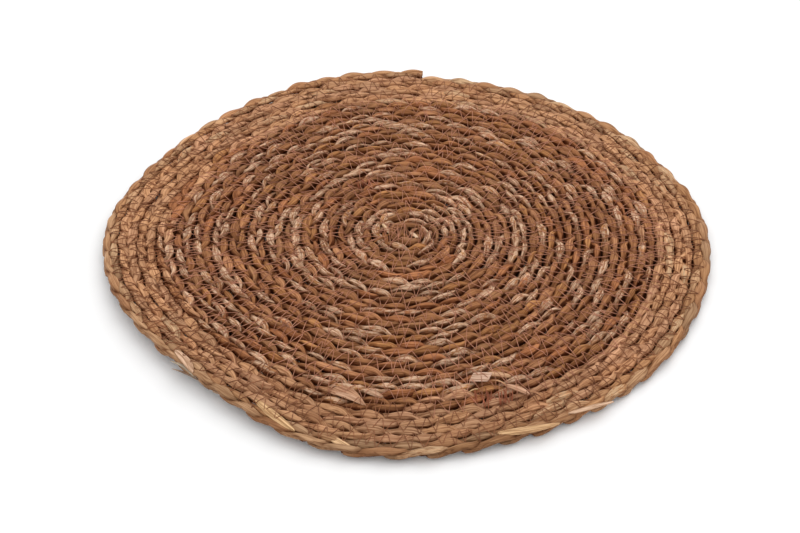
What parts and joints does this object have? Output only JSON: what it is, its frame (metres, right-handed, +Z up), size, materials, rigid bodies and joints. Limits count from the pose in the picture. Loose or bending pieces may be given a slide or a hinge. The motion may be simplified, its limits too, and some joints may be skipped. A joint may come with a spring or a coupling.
{
  "type": "round plaited leaf placemat",
  "caption": "Round table mat of flat plaited plant leaf, wound in a spiral and sewn, with a brown centre, golden border and lobed plaited rim. Shields a table from a plate.",
  "frame": {"origin": "the middle of the spiral, on the flat underside that rests on the table", "axes": "+Z up, the mat's thin direction; -Y towards the picture's viewer; +X to the viewer's right; the rim's cut end lies towards +Y"},
  "size_m": [0.3865, 0.3856, 0.0132],
  "materials": {
    "brown_leaf": "dry plaited leaf, brown with pale and reddish strands",
    "golden_leaf": "dry plaited leaf, golden tan",
    "rim_leaf": "broad smooth plaited leaf, golden tan"
  },
  "bodies": {
    "root": {"centre_coil": "brown_leaf", "border_coil": "golden_leaf", "rim_plait": "rim_leaf"}
  },
  "joints": []
}
